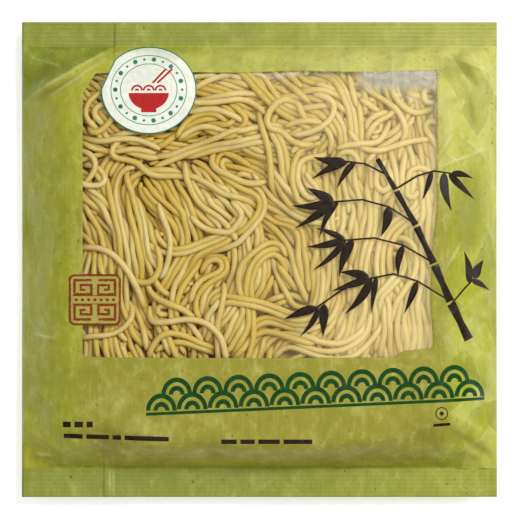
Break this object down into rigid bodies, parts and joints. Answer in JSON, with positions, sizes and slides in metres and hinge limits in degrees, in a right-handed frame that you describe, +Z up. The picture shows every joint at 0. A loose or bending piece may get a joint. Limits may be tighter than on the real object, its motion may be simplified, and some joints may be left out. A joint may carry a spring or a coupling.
{
  "type": "sealed pack of noodles",
  "caption": "Sealed pillow pack of fresh wheat noodles: green printed film with a large clear window, a crimped seal at each end and a fin seal down the back.",
  "frame": {"origin": "middle of the pack's footprint, on the surface that its back lies on", "axes": "+X across the front to the right, +Y along the pack to the top seal, +Z up, out of the front"},
  "size_m": [0.2, 0.2, 0.0338],
  "materials": {
    "printed_film": "satin green printed plastic film",
    "clear_film": "thin clear plastic film, glossy, faintly hazy",
    "noodles": "moist pale yellow wheat noodle, slightly translucent"
  },
  "bodies": {
    "root": {"noodle_pack": "printed_film"}
  },
  "joints": []
}
